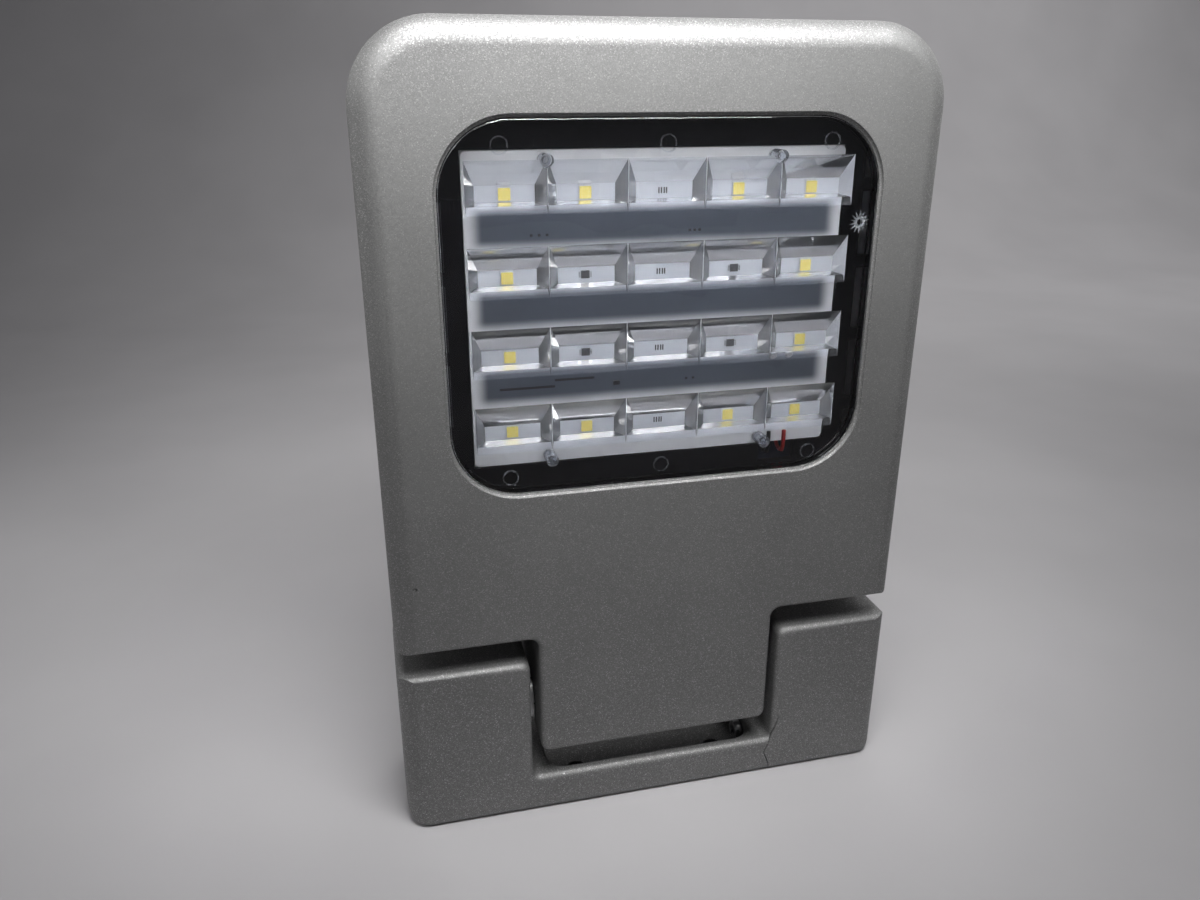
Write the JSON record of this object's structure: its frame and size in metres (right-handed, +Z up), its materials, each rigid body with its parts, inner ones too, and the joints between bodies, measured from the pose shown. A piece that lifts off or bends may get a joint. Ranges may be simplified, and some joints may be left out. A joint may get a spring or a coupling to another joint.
{
  "type": "solar street lamp",
  "caption": "Flat die-cast solar street lamp head with a framed prismatic LED window, a solar panel behind and a tilting two-arm yoke on a flat base",
  "frame": {"origin": "middle of the flat base of the yoke, where the lamp stands or bolts to its pole arm", "axes": "+Z up through the upright lamp, -Y the way the LED window faces, +X along the tilt axis; in use the pole arm's flange meets the base and -Y faces the road"},
  "size_m": [0.226, 0.058, 0.3305],
  "materials": {
    "silver_powder_coat": "fine textured silver-grey metallic powder coat on die-cast aluminium",
    "black_rubber": "matt moulded silicone rubber",
    "clear_lens": "clear moulded acrylic with polished prism faces",
    "black_plastic": "fine-grained black moulding",
    "button_plastic": "soft-touch dark grey moulding",
    "white_board": "white solder mask on an aluminium-core board",
    "aluminium_plate": "milled plate",
    "phosphor": "yellow phosphor gel in a white package",
    "steel": "stainless steel",
    "cell_wrap": "blue shrink wrap",
    "circuit_board": "green solder mask",
    "ferrite": "black ferrite and enamelled winding",
    "red_sleeve": "silicone wire sleeve",
    "black_sleeve": "silicone wire sleeve",
    "black_anodised": "black anodised extrusion",
    "panel_glass": "toughened low-iron glass",
    "solar_cells": "dark blue monocrystalline cells in laminate"
  },
  "bodies": {
    "yoke": {"yoke_left": "silver_powder_coat", "yoke_right": "silver_powder_coat", "joint_bolt_1": "steel", "joint_bolt_2": "steel", "tilt_bolt_left": "steel", "tilt_bolt_right": "steel", "friction_washer_left": "steel", "friction_washer_right": "steel"},
    "head": {"battery_cell_1": "cell_wrap", "battery_cell_2": "cell_wrap", "battery_cell_3": "cell_wrap", "battery_cell_4": "cell_wrap", "battery_holder": "black_plastic", "black_lead": "black_sleeve", "board_screw_1": "steel", "board_screw_2": "steel", "board_screw_3": "steel", "board_screw_4": "steel", "button_ring": "black_rubber", "button_switch": "black_plastic", "cell_sheet": "solar_cells", "controller_board": "circuit_board", "controller_inductor": "ferrite", "cover_screw_1": "steel", "cover_screw_2": "steel", "cover_screw_3": "steel", "cover_screw_4": "steel", "cover_screw_5": "steel", "cover_screw_6": "steel", "cover_screw_7": "steel", "cover_screw_8": "steel", "front_frame": "silver_powder_coat", "heat_spreader": "aluminium_plate", "hinge_bush_left": "steel", "hinge_bush_right": "steel", "housing_seal": "black_rubber", "led_1": "phosphor", "led_10": "phosphor", "led_11": "phosphor", "led_12": "phosphor", "led_2": "phosphor", "led_3": "phosphor", "led_4": "phosphor", "led_5": "phosphor", "led_6": "phosphor", "led_7": "phosphor", "led_8": "phosphor", "led_9": "phosphor", "led_board": "white_board", "lens_plate": "clear_lens", "light_tray": "black_plastic", "panel_frame": "black_anodised", "panel_glass": "panel_glass", "panel_lead": "black_sleeve", "rear_housing": "silver_powder_coat", "red_lead": "red_sleeve", "terminal_block": "black_plastic", "vent_plug": "black_plastic", "window_gasket": "black_rubber"},
    "button": {"power_button": "button_plastic"}
  },
  "joints": [
    {"name": "head_tilt", "type": "hinge", "parent": "yoke", "child": "head", "pos_m": [0, 0, 0.044], "axis": [1, 0, 0], "range_deg": [-15, 15]},
    {"name": "button_press", "type": "slide", "parent": "head", "child": "button", "axis": [0, -1, 0], "range_m": [0, 0.0015], "stiffness_N_per_m": 900, "springref_m": -0.001}
  ]
}
